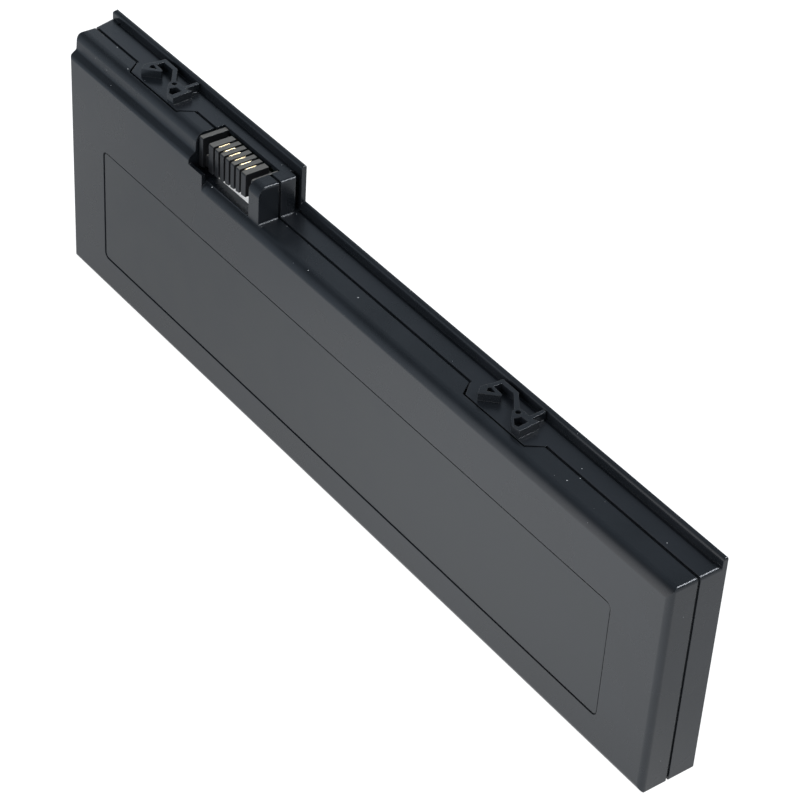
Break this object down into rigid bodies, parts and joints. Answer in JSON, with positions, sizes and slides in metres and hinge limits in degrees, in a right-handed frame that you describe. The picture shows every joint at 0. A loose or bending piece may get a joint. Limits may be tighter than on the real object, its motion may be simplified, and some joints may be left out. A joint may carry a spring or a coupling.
{
  "type": "laptop battery pack",
  "caption": "Slim charcoal laptop battery pack in two moulded shells, with a raised end that holds a comb connector, moulded latch catches, a bare label and flat cells inside.",
  "frame": {"origin": "centre of the pack's box at the plain long edge it stands on", "axes": "+X along the pack away from its raised connector end, +Y from the label face to the back, +Z from the plain edge up to the connector edge"},
  "size_m": [0.2098, 0.0134, 0.0627],
  "materials": {
    "shell_plastic": "fine satin texture, charcoal",
    "shell_plastic_back": "fine satin texture, charcoal",
    "label_film": "satin printed film, left bare",
    "connector_plastic": "moulded, satin black",
    "contact_gilt": "gold-plated",
    "pad_white": "matt white",
    "cell_can": "drawn can, dull",
    "link_nickel": "nickel strip",
    "lead_red": "wire sleeve",
    "lead_black": "wire sleeve",
    "board_laminate": "green solder mask",
    "chip_black": "moulded epoxy",
    "chip_tan": "fired ceramic look",
    "fuse_white": "glazed",
    "thermistor_bead": "dipped epoxy",
    "insulating_paper": "fish paper",
    "tape_white": "adhesive tape"
  },
  "bodies": {
    "root": {"front_shell": "shell_plastic", "back_shell": "shell_plastic_back", "label_plate": "label_film", "connector_housing": "connector_plastic", "connector_pad": "pad_white", "circuit_board": "board_laminate", "controller_chip": "chip_black", "discharge_transistor": "chip_black", "charge_transistor": "chip_black", "cell_fuse": "fuse_white", "sense_resistor": "chip_black", "chip_parts": "chip_tan", "thermistor": "thermistor_bead", "insulating_paper": "insulating_paper", "front_tape": "tape_white", "back_tape": "tape_white", "contact_blade_1": "contact_gilt", "contact_blade_2": "contact_gilt", "contact_blade_3": "contact_gilt", "contact_blade_4": "contact_gilt", "contact_blade_5": "contact_gilt", "contact_blade_6": "contact_gilt", "cell_1": "cell_can", "cell_2": "cell_can", "cell_3": "cell_can", "cell_4": "cell_can", "cell_5": "cell_can", "cell_6": "cell_can", "cell_link_1": "link_nickel", "cell_link_2": "link_nickel", "cell_link_3": "link_nickel", "cell_link_4": "link_nickel", "lead_1": "lead_black", "lead_2": "lead_red", "lead_3": "lead_red", "lead_4": "lead_red"}
  },
  "joints": []
}
